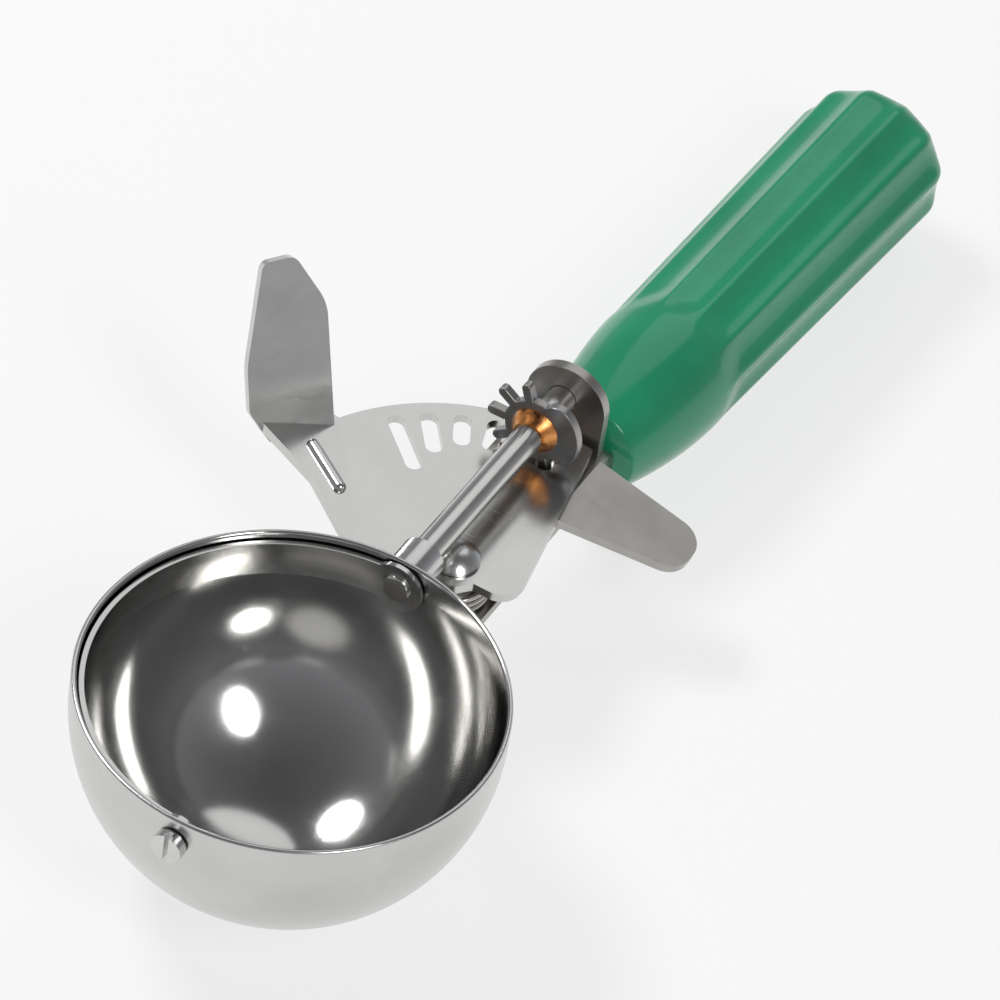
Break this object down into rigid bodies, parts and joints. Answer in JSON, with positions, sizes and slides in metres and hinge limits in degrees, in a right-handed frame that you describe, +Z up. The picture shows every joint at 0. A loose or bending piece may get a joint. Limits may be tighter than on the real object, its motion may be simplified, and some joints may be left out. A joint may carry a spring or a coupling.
{
  "type": "lever ice cream scoop",
  "caption": "Thumb lever ice cream scoop: round steel bowl with a geared scraper blade, slotted lever plate, return spring and fluted green handle.",
  "frame": {"origin": "centre of the bowl's sphere, on the scraper's axis", "axes": "+X back along the scraper shaft to the handle, +Z up through the mouth of the bowl, +Y towards the thumb lever"},
  "size_m": [0.227, 0.0806, 0.0548],
  "materials": {
    "bowl_steel": "mirror polished inside, satin outside",
    "blade_steel": "polished stainless strip",
    "pin_steel": "bright turned stainless",
    "shaft_steel": "ground stainless rod",
    "stamped_steel": "stamped stainless, slightly heat darkened",
    "braze_copper": "copper coloured braze",
    "lever_steel": "polished stainless sheet",
    "spring_steel": "drawn spring wire",
    "frame_steel": "tumbled stainless sheet",
    "green_plastic": "glossy moulded green plastic"
  },
  "bodies": {
    "scraper": {"scraper_blade": "blade_steel", "blade_front_pin": "pin_steel", "scraper_shaft": "shaft_steel", "pinion": "stamped_steel", "pinion_braze": "braze_copper"},
    "lever": {"thumb_lever": "lever_steel"},
    "base": {"bowl": "bowl_steel", "shaft_bushing": "pin_steel", "handle_frame": "frame_steel", "lever_rivet": "pin_steel", "spring_spacer": "pin_steel", "lever_washer": "pin_steel", "return_spring": "spring_steel", "handle_tang": "frame_steel", "tang_rivets": "pin_steel", "handle_grip": "green_plastic"}
  },
  "joints": [
    {"name": "lever_press", "type": "hinge", "parent": "base", "child": "lever", "pos_m": [0.049, -0.0016, -0.0073], "axis": [0, 0, -1], "range_deg": [0, 48], "stiffness_Nm_per_rad": 0.25, "springref_deg": -20.05},
    {"name": "scraper_turn", "type": "hinge", "parent": "base", "child": "scraper", "pos_m": [0, 0, 0], "axis": [-1, 0, 0], "range_deg": [0, 172.8]}
  ],
  "couplings": [
    {"joint": "scraper_turn", "follows": "lever_press", "ratio": 3.6}
  ]
}
